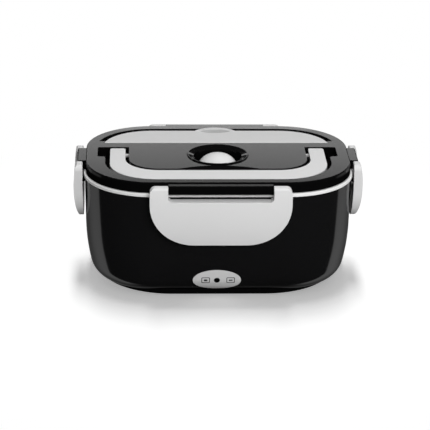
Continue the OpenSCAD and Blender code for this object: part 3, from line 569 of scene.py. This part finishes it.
def plastic(name, colour, rough, drift=0.03, grain=0.012, grain_scale=2600, specular=0.5):
    """Moulded plastic: slow drift of the tone, fine grain in gloss and relief."""
    material, tree = new_material(name)
    if tree is None:
        return material
    shader = tree.nodes["Principled BSDF"]
    shader.inputs["Specular IOR Level"].default_value = specular
    cloud = noise(tree, *CLOUD, TONE_ROW)
    low = tuple(c * (1 - drift) for c in colour)
    high = tuple(min(1.0, c * (1 + drift)) for c in colour)
    tree.links.new(tint(tree, cloud, low, high), shader.inputs["Base Color"])
    wear = noise(tree, *WEAR, GLOSS_ROW)
    span = (*NOISE_SPAN, rough * (1 - WEAR_SHARE), rough * (1 + WEAR_SHARE))
    tree.links.new(ramp(tree, wear, span, "LINEAR"), shader.inputs["Roughness"])
    relief(tree, noise(tree, grain_scale, GRAIN_DETAIL, RELIEF_ROW), grain)
    return material


def metal(name, colour, rough, pattern):
    """Steel with fine lines or specks in its gloss."""
    material, tree = new_material(name)
    if tree is None:
        return material
    shader = tree.nodes["Principled BSDF"]
    shader.inputs["Metallic"].default_value = 1.0
    coordinates = tree.nodes.new("ShaderNodeTexCoord")
    coordinates.location = (PLACE_COLUMN, TONE_ROW)
    mapping = tree.nodes.new("ShaderNodeMapping")
    mapping.location = (PLACE_COLUMN, RELIEF_ROW)
    mapping.inputs["Scale"].default_value = pattern
    lines = tree.nodes.new("ShaderNodeTexNoise")
    lines.location = (NOISE_COLUMN, GLOSS_ROW)
    lines.inputs["Scale"].default_value = 1.0
    lines.inputs["Detail"].default_value = BRUSH_DETAIL
    tree.links.new(coordinates.outputs["Object"], mapping.inputs["Vector"])
    tree.links.new(mapping.outputs["Vector"], lines.inputs["Vector"])
    span = (*NOISE_SPAN, *(rough * share for share in BRUSH_WEAR))
    tree.links.new(ramp(tree, lines.outputs["Fac"], span, "LINEAR"), shader.inputs["Roughness"])
    low = tuple(c * BRUSH_DARK for c in colour)
    tree.links.new(tint(tree, lines.outputs["Fac"], low, colour), shader.inputs["Base Color"])
    relief(tree, lines.outputs["Fac"], BRUSH_RELIEF)
    return material


def shell_black():
    return plastic(
        "glossy_black", colours().shell, 0.1, drift=0.06, grain=0.004, grain_scale=900, specular=0.42)


def lid_black():
    """Satin black with painted reflections: its gloss is weaker on upright walls, gone in the deep pockets as
    painted shade, painted stronger towards the rear rim and dimmer towards the front rim.
    """
    made = bpy.data.materials.get("satin_black")
    if made:
        return made
    material = plastic("satin_black", colours().lid, 0.12, drift=0.06, grain=0.004, grain_scale=2400)
    tree = material.node_tree
    place = tree.nodes.new("ShaderNodeTexCoord")
    facing = calc(tree, "ABSOLUTE", split(tree, place.outputs["Normal"])[2])
    y, z = split(tree, place.outputs["Object"])[1:]
    # Gloss painted by place: a painted sheen at the rear rim, painted shade in the pockets and at the front
    # rim, duller upright walls
    painted_sheen = ramp(tree, facing, LID_PAINTED_GLOSS_FACING)
    for value, span in ((z, LID_POCKET_PAINTED_SHADE), (y, LID_REAR_PAINTED_SHEEN), (y, LID_FRONT_PAINTED_SHADE)):
        painted_sheen = calc(tree, "MULTIPLY", painted_sheen, ramp(tree, value, span))
    tree.links.new(painted_sheen, tree.nodes["Principled BSDF"].inputs["Specular IOR Level"])
    return material


def white_plastic():
    return plastic("white_plastic", colours().white, 0.34, drift=0.012)


def cover_white():
    """White with painted shade: greyer in the finger tab's hollow, which lies between two circles in plan."""
    made = bpy.data.materials.get("cover_white")
    if made:
        return made
    material = plastic("cover_white", colours().cover, 0.36, drift=0.012)
    tree = material.node_tree
    shader = tree.nodes["Principled BSDF"]
    white = shader.inputs["Base Color"].links[0].from_socket
    place = tree.nodes.new("ShaderNodeTexCoord")
    inside = 1.0
    for centre in HOLLOW_CENTRES:
        reach = tree.nodes.new("ShaderNodeVectorMath")
        reach.operation = "DISTANCE"
        reach.inputs[1].default_value = (0, centre, HOLLOW_Z)
        tree.links.new(place.outputs["Object"], reach.inputs[0])
        inside = calc(tree, "MULTIPLY", ramp(tree, reach.outputs["Value"], HOLLOW_SHADE_EDGE), inside)
    # Painted shade: the white inside the hollow is multiplied by grey
    shade = tree.nodes.new("ShaderNodeMix")
    shade.data_type = "RGBA"
    shade.blend_type = "MULTIPLY"
    shade.inputs["B"].default_value = (HOLLOW_PAINTED_SHADE, HOLLOW_PAINTED_SHADE, HOLLOW_PAINTED_SHADE, 1)
    tree.links.new(inside, shade.inputs["Factor"])
    tree.links.new(white, shade.inputs["A"])
    tree.links.new(shade.outputs["Result"], shader.inputs["Base Color"])
    return material


def liner_white():
    return plastic("liner_white", colours().band, 0.3, drift=0.012, grain=0.01)


def tray_plastic():
    return plastic("milky_tray", colours().tray, 0.4, drift=0.02, grain=0.02, grain_scale=1800)


def dark_plastic():
    return plastic("dark_plastic", (0.014, 0.014, 0.015), 0.45, drift=0.1, grain=0.05)


def ring_black():
    return plastic("ring_black", (0.0022, 0.0022, 0.0023), 0.3, drift=0.1, grain=0.02, specular=0.25)


def plate_grey():
    return plastic("plate_grey", colours().plate, 0.35)


def print_dark():
    return plastic("print_dark", (0.012, 0.012, 0.012), 0.4)


def soft_rubber():
    return plastic(
        "grained_rubber", (0.02, 0.02, 0.02), 0.8, drift=0.15, grain=0.12, grain_scale=1500, specular=0.3)


def silicone():
    return plastic(
        "soft_silicone", (0.6, 0.6, 0.58), 0.55, grain=0.05, grain_scale=1600, specular=0.35)


def steel():
    return metal("brushed_steel", colours().steel, 0.3, BRUSHED)


def bright_steel():
    return metal("bright_steel", (0.66, 0.65, 0.62), 0.18, UNBRUSHED)


# Pieces


class LUNCHBOX_OT_body(bpy.types.Operator):
    """Body: black shell with its foot ring, and the white liner"""

    bl_idname = "lunchbox.body"
    bl_label = "Body"

    def shell(self):
        """Draws the wall's section and carries it round the plan."""
        own = sizes()
        cx, cy = own.lid_width / 2 - own.corner, own.lid_depth / 2 - own.corner
        draft = math.radians(SHELL_DRAFT)
        reach = own.corner + SHELL_REACH
        # Centre of the long curve, and how far it turns down
        bend = reach - (SHELL_TOP - CURVE_Z) * math.tan(draft) - CURVE_R * math.cos(draft)
        bend_z = CURVE_Z + CURVE_R * math.sin(draft)
        turn = math.asin((bend_z - ROUND_Z) / CURVE_R)
        # The same of the tight round
        foot = bend + (CURVE_R - ROUND_R) * math.cos(turn)
        foot_z = ROUND_Z + ROUND_R * math.sin(turn)
        end = math.asin((foot_z - SHELL_Z) / ROUND_R)

        def side(inset):
            """The wall from its top down to the floor, at this depth under its outside."""
            wall = [(reach - inset / math.cos(draft), SHELL_TOP)]
            curve = arc((bend, bend_z), CURVE_R - inset, -draft, -turn, CURVE_STEPS)
            return wall + curve[:-1] + arc((foot, foot_z), ROUND_R - inset, -turn, -end, ROUND_STEPS)

        outer, inner = side(0.0), side(SHELL_T)
        rim = outer[0][0]
        wide, narrow = EDGE_BREAK
        edge = [(rim - wide, SHELL_TOP), (rim - narrow, SHELL_TOP - narrow), (rim, SHELL_TOP - wide)]
        floor_in = foot + ROUND_R * math.cos(end) - FLOOR_W
        section = edge + outer[1:] + [(floor_in, SHELL_Z), (floor_in, SHELL_Z + SHELL_T)] + inner[::-1]
        points = [(cx + x, cy, z) for x, z in section]
        piece = seed("body_shell", points[0])
        draw(points)
        carry_round(cx, cy)
        leave()
        return piece

    def ribs(self, piece):
        """Ribs under which the latches' hooks catch."""
        own = sizes()
        for wall, width, turn in ((own.lid_depth / 2, LONG_RIB, 0), (own.lid_width / 2, SHORT_RIB, 90)):
            rib = bar("rib", [(-wall + y, z) for y, z in RIB], width)
            bpy.ops.transform.rotate(value=math.radians(turn), orient_axis="Z", center_override=(0, 0, 0))
            other = twin(rib)
            edit(other)
            bpy.ops.transform.rotate(value=math.pi, orient_axis="Z", center_override=(0, 0, 0))
            combine(piece, rib, "UNION")
            combine(piece, other, "UNION")

    def execute(self, context):
        piece = self.shell()
        self.ribs(piece)
        combine(piece, block("inlet_frame", *INLET_FRAME), "UNION")
        combine(piece, block("inlet_pocket", *INLET_POCKET), "DIFFERENCE")
        combine(piece, block("inlet_hole", *INLET_HOLE), "DIFFERENCE")
        smooth(piece, BODY_SMOOTH)
        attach(piece, "base")
        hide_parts("outer_shell")
        finish(piece, shell_black())
        finish(moulded("bottom_cover", "foot_ring", "base", BASE_ROUND), ring_black())
        finish(moulded("inner_liner", "liner", "base", BASE_ROUND), liner_white())
        return {"FINISHED"}


class LUNCHBOX_OT_lid(bpy.types.Operator):
    """Lid: black moulding with its pockets, and the white vent plug"""

    bl_idname = "lunchbox.lid"
    bl_label = "Lid"

    def round_pockets(self, piece):
        """Rounds the corners between the bow's recess and the pockets beside its tails."""

        def at_corner(edge):
            x, y = edge.verts[0].co.xy
            off = max(abs(abs(x) - POCKET_CORNER[0]), abs(y - POCKET_CORNER[1]))
            return off < POCKET_NEAR and upright(edge, POCKET_HEIGHT)

        choose(piece, "EDGE", at_corner)
        bpy.ops.mesh.bevel(offset=POCKET_ROUND, segments=CORNER_STEPS)

    def execute(self, context):
        piece = moulded("lid_shell", "lid", "lid", sizes().edge_round, shape=self.round_pockets)
        finish(piece, lid_black())
        finish(moulded("vent_plug", "vent_dome", "vent_plug", VENT_ROUND), white_plastic())
        return {"FINISHED"}


class LUNCHBOX_OT_handle(bpy.types.Operator):
    """Carrying handle"""

    bl_idname = "lunchbox.handle"
    bl_label = "Carrying handle"

    def round_tails(self, piece):
        """Rounds the upright edges at the ends of the bow's two arms."""
        back = max(vert.co.y for vert in piece.data.vertices)

        def at_tail(edge):
            return upright(edge, TAIL_HEIGHT) and abs(edge.verts[0].co.y - back) < NEAR

        choose(piece, "EDGE", at_tail)
        bpy.ops.mesh.bevel(offset=TAIL_ROUND, segments=CORNER_STEPS)

    def execute(self, context):
        piece = moulded(
            "carry_handle", "handle_bow", "carry_handle", sizes().handle_round, shape=self.round_tails)
        finish(piece, white_plastic())
        return {"FINISHED"}


class LUNCHBOX_OT_spoon_cover(bpy.types.Operator):
    """Spoon cover"""

    bl_idname = "lunchbox.spoon_cover"
    bl_label = "Spoon cover"

    def hollow_tab(self, piece):
        """Deepens the finger tab's hollow towards its front, so that its floor rises to the rear."""

        def in_hollow(face):
            return level_at(face, HOLLOW_Z) and face.calc_center_median().y > HOLLOW_FRONT

        choose(piece, "FACE", in_hollow)
        bpy.ops.transform.resize(value=HOLLOW_SHARE, center_override=(0, HOLLOW_FRONT, HOLLOW_Z))
        bpy.ops.transform.translate(value=(0, 0, -HOLLOW_DROP))

    def execute(self, context):
        piece = moulded("spoon_cover", "cover_flap", "spoon_cover", COVER_ROUND, shape=self.hollow_tab)
        finish(piece, cover_white())
        return {"FINISHED"}


class LUNCHBOX_OT_latches(bpy.types.Operator):
    """Four clip latches"""

    bl_idname = "lunchbox.latches"
    bl_label = "Clip latches"

    def lower_top(self, piece):
        """Lowers the plate's upper edge between the ears, which bares the shell under the rim band."""
        choose(piece, "FACE", lambda face: level_at(face, LATCH_TOP))
        bpy.ops.transform.translate(value=(0, 0, -LATCH_DROP))

    def execute(self, context):
        for side in ("front", "rear", "left", "right"):
            node = "latch_" + side
            piece = moulded(node, side + "_clip", node, sizes().latch_round, shape=self.lower_top)
            finish(piece, white_plastic())
        return {"FINISHED"}


class LUNCHBOX_OT_indicator(bpy.types.Operator):
    """Oval indicator plate with two plain printed frames"""

    bl_idname = "lunchbox.indicator"
    bl_label = "Indicator"

    def rounded_sheet(self, half, rise, radius):
        """A flat sheet with round corners, lying round the origin."""
        bpy.ops.object.select_all(action="DESELECT")
        bpy.ops.mesh.primitive_plane_add(size=1)
        piece = bpy.context.object
        piece.name = "plate_mark"
        edit(piece)
        bpy.ops.transform.resize(value=(2 * half, 2 * rise, 1), center_override=(0, 0, 0))
        bpy.ops.mesh.bevel(offset=radius, segments=ICON_STEPS, affect="VERTICES")
        bpy.ops.mesh.select_mode(type="FACE")
        bpy.ops.mesh.select_all(action="SELECT")
        return piece

    def on_plate(self, piece, x, z, plate):
        """Stands a sheet up, lays it on the plate's curved face and gives it the thickness of a print."""
        edit(piece)
        bpy.ops.mesh.subdivide(number_cuts=PRINT_CUTS)
        bpy.ops.transform.rotate(value=math.pi / 2, orient_axis="X", center_override=(0, 0, 0))
        bpy.ops.transform.translate(value=(x, PRINT_START, z))
        leave()
        use(piece, "SHRINKWRAP", target=plate, wrap_method="PROJECT", use_project_y=True)
        edit(piece)
        bpy.ops.transform.translate(value=(0, -PRINT_LIFT, 0))
        bpy.ops.mesh.normals_make_consistent(inside=False)
        leave()
        use(piece, "SOLIDIFY", thickness=PRINT_T, offset=0.0)

    def execute(self, context):
        plate = moulded("indicator_plate", "plate_front", "base", PLATE_ROUND)
        finish(plate, plate_grey())
        border = self.rounded_sheet(*ICON_FRAME)
        bpy.ops.mesh.inset(thickness=sizes().icon_line)
        bpy.ops.mesh.delete(type="FACE")
        marks = [border, twin(border)]
        for outline in (ICON_DOT, ICON_BAR):
            marks.append(self.rounded_sheet(*outline))
            leave()
        for mark, x in zip(marks, (-ICON_X, ICON_X, -ICON_X, ICON_X)):
            self.on_plate(mark, BADGE_X + x, BADGE_Z, plate)
        only(marks[0])
        for mark in marks:
            mark.select_set(True)
        bpy.ops.object.join()
        marks = bpy.context.object
        marks.name = "plate_marks"
        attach(marks, "base")
        finish(marks, print_dark())
        return {"FINISHED"}


class LUNCHBOX_OT_inside(bpy.types.Operator):
    """Lens, trays, heater, wiring, fasteners and the mains inlet, which keep their frame's shape"""

    bl_idname = "lunchbox.inside"
    bl_label = "Inside and underside"

    def execute(self, context):
        looks = {
            "rubber_feet": soft_rubber(),
            "cover_screws": bright_steel(),
            "heater_plate": steel(),
            "plate_gasket": silicone(),
            "plate_nuts": bright_steel(),
            "ptc_heaters": plastic("fired_ceramic", (0.62, 0.58, 0.48), 0.6, drift=0.05, grain=0.05),
            "heater_clamp": steel(),
            "thermal_fuse": plastic("fuse_body", (0.6, 0.6, 0.56), 0.4),
            "thermostat": dark_plastic(),
            "heater_leads": plastic("red_sleeve", (0.32, 0.025, 0.02), 0.5),
            "lamp_leads": plastic("white_sleeve", (0.6, 0.6, 0.6), 0.5),
            "mains_inlet": dark_plastic(),
            "inlet_pins": bright_steel(),
            "lamp_lens": plastic("smoked_lens", (0.002, 0.002, 0.002), 0.12, specular=0.1),
            "lamp": plastic("red_lamp", (0.5, 0.02, 0.015), 0.2),
            "lamp_board": plastic("green_board", (0.01, 0.08, 0.03), 0.4, drift=0.2),
            "food_tray": tray_plastic(),
            "side_tray": tray_plastic(),
            "inner_lid": liner_white(),
            "lid_seal": silicone(),
            "spoon": steel(),
        }
        for node, material in looks.items():
            mesh = frame["nodes"][node].data
            mesh.materials.clear()
            mesh.materials.append(material)
        return {"FINISHED"}


# Stage


def floor_material():
    """Pale floor: near white to the camera with the object's shadow, clear to reflections."""
    material = bpy.data.materials.new("pale_floor")
    material.use_nodes = True
    tree = material.node_tree
    tree.nodes.clear()
    place = tree.nodes.new("ShaderNodeTexCoord").outputs["Object"]
    reach = tree.nodes.new("ShaderNodeVectorMath")
    reach.operation = "LENGTH"
    tree.links.new(place, reach.inputs["Vector"])
    bounce = tree.nodes.new("ShaderNodeBsdfDiffuse")
    tree.links.new(ramp(tree, split(tree, place)[0], FLOOR_BOUNCE), bounce.inputs["Color"])
    near = tree.nodes.new("ShaderNodeBsdfDiffuse")
    near.inputs["Color"].default_value = (FLOOR_WHITE, FLOOR_WHITE, FLOOR_WHITE, 1)
    far = tree.nodes.new("ShaderNodeEmission")
    far.inputs["Color"].default_value = (1, 1, 1, 1)
    clear = tree.nodes.new("ShaderNodeBsdfTransparent")
    out = tree.nodes.new("ShaderNodeOutputMaterial")
    direct, glossy = light_path(tree)
    fade = ramp(tree, reach.outputs["Value"], FLOOR_FADE)
    seen = blend(tree, fade, near.outputs["BSDF"], far.outputs["Emission"])
    solid = blend(tree, direct, bounce.outputs["BSDF"], seen)
    tree.links.new(blend(tree, glossy, solid, clear.outputs["BSDF"]), out.inputs["Surface"])
    return material


def studio_world():
    """Plain fill on surfaces, white to the camera, and a dark studio with a white rear wall in gloss."""
    world = bpy.data.worlds.new("studio")
    world.use_nodes = True
    tree = world.node_tree
    fill = tree.nodes["Background"]
    fill.inputs["Color"].default_value = (1, 1, 1, 1)
    white = tree.nodes.new("ShaderNodeBackground")
    white.inputs["Color"].default_value = (1, 1, 1, 1)
    white.inputs["Strength"].default_value = 1.0
    mirror = tree.nodes.new("ShaderNodeBackground")
    direction = tree.nodes.new("ShaderNodeTexCoord")
    x, y, z = split(tree, direction.outputs["Generated"])
    tree.links.new(ramp(tree, x, FILL), fill.inputs["Strength"])
    turn = calc(tree, "ARCTAN2", y, calc(tree, "ABSOLUTE", x))
    wall = ramp(tree, z, WALL_TOP, "LINEAR")
    for value, span in ((z, WALL_FOOT), (y, WALL_FRONT)):
        wall = calc(tree, "MULTIPLY", wall, ramp(tree, value, span))
    strip = ramp(tree, turn, STRIP_NEAR)
    for value, span in ((turn, STRIP_FAR), (z, STRIP_TOP), (z, STRIP_FOOT)):
        strip = calc(tree, "MULTIPLY", strip, ramp(tree, value, span))
    total = calc(tree, "ADD", calc(tree, "ADD", wall, strip), ROOM_LIGHT)
    tree.links.new(total, mirror.inputs["Strength"])
    direct, glossy = light_path(tree)
    room = blend(tree, glossy, fill.outputs["Background"], mirror.outputs["Background"])
    surface = tree.nodes["World Output"].inputs["Surface"]
    tree.links.new(blend(tree, direct, room, white.outputs["Background"]), surface)
    return world


def hang(name, light, toward):
    """Puts a lamp in the scene, turned toward a direction and not mirrored by the gloss."""
    lamp = bpy.data.objects.new(name, light)
    bpy.context.scene.collection.objects.link(lamp)
    lamp.rotation_euler = toward.to_track_quat("-Z", "Y").to_euler()
    lamp.visible_glossy = False
    return lamp


def sun(name, height, strength):
    """A far lamp behind the object, at an angle above the floor."""
    light = bpy.data.lights.new(name, "SUN")
    light.angle = math.radians(SUN_SIZE)
    light.energy = strength
    hang(name, light, Vector((0, -math.cos(height), -math.sin(height))))


def softbox(name, place, width, depth, power):
    """A rectangular lamp that looks at the object."""
    light = bpy.data.lights.new(name, "AREA")
    light.shape = "RECTANGLE"
    light.size = width
    light.size_y = depth
    light.energy = power
    lamp = hang(name, light, Vector(BOX_TARGET) - Vector(place))
    lamp.location = place
    return lamp


class LUNCHBOX_OT_stage(bpy.types.Operator):
    """Pale floor, studio lights and the camera"""

    bl_idname = "lunchbox.stage"
    bl_label = "Stage"

    def lights(self, context, floor):
        """Suns over the rear, and two soft boxes that leave the floor alone."""
        context.scene.world = studio_world()
        for height, share in TOP_LIGHT:
            sun("top_soft", math.radians(height), share * TOP_POWER)
        lit = bpy.data.collections.new("front_lit")
        lit.objects.link(floor)
        lit.collection_objects[0].light_linking.link_state = "EXCLUDE"
        for lamp in (softbox("front_soft", *FRONT_BOX), softbox("side_soft", *SIDE_BOX)):
            lamp.light_linking.receiver_collection = lit

    def camera(self, context):
        """Camera at the photograph's place."""
        camera_data = bpy.data.cameras.new("photo_camera")
        camera = bpy.data.objects.new("photo_camera", camera_data)
        context.scene.collection.objects.link(camera)
        azimuth, height, roll = (math.radians(angle) for angle in CAMERA_TURN)
        flat = math.cos(height)
        back = Vector((math.sin(azimuth) * flat, -math.cos(azimuth) * flat, math.sin(height)))
        right = (-back).cross(Vector((0, 0, 1))).normalized()
        up = right.cross(-back)
        turned = right * math.cos(roll) + up * math.sin(roll)
        upright = up * math.cos(roll) - right * math.sin(roll)
        matrix = Matrix((turned, upright, back)).transposed().to_4x4()
        matrix.translation = Vector(CAMERA_PLACE)
        camera.matrix_world = matrix
        camera_data.sensor_width = SENSOR_WIDTH
        camera_data.lens = CAMERA_FOCUS / PICTURE_WIDTH * SENSOR_WIDTH
        camera_data.clip_start, camera_data.clip_end = CAMERA_REACH
        context.scene.camera = camera

    def execute(self, context):
        bpy.ops.object.select_all(action="DESELECT")
        bpy.ops.mesh.primitive_plane_add(size=FLOOR_SIZE, location=(0, 0, 0))
        floor = context.object
        floor.name = "floor"
        floor.data.materials.append(floor_material())
        self.lights(context, floor)
        self.camera(context)
        context.scene.view_settings.view_transform = "Standard"
        return {"FINISHED"}


OPERATORS = (
    LUNCHBOX_OT_body, LUNCHBOX_OT_lid, LUNCHBOX_OT_handle, LUNCHBOX_OT_spoon_cover, LUNCHBOX_OT_latches,
    LUNCHBOX_OT_indicator, LUNCHBOX_OT_inside, LUNCHBOX_OT_stage,
)


class LUNCHBOX_PT_panel(bpy.types.Panel):
    """Panel in the 3D view's sidebar"""

    bl_idname = "LUNCHBOX_PT_panel"
    bl_label = "Lunch box"
    bl_space_type = "VIEW_3D"
    bl_region_type = "UI"
    bl_category = "Lunch box"

    def draw(self, context):
        layout = self.layout
        for group in (context.scene.lunchbox_sizes, context.scene.lunchbox_colours):
            for name in group.bl_rna.properties.keys():
                if name not in ("rna_type", "name"):
                    layout.prop(group, name)
        for operator in OPERATORS:
            layout.operator(operator.bl_idname)


CLASSES = (LunchboxSizes, LunchboxColours, *OPERATORS, LUNCHBOX_PT_panel)


def register():
    for cls in CLASSES:
        bpy.utils.register_class(cls)
    bpy.types.Scene.lunchbox_sizes = bpy.props.PointerProperty(type=LunchboxSizes)
    bpy.types.Scene.lunchbox_colours = bpy.props.PointerProperty(type=LunchboxColours)


def unregister():
    del bpy.types.Scene.lunchbox_colours
    del bpy.types.Scene.lunchbox_sizes
    for cls in reversed(CLASSES):
        bpy.utils.unregister_class(cls)


def main():
    """Builds the whole scene with the operators, in order."""
    register()
    for operator in OPERATORS:
        section, name = operator.bl_idname.split(".")
        getattr(getattr(bpy.ops, section), name)()


if __name__ == "__main__":
    main()
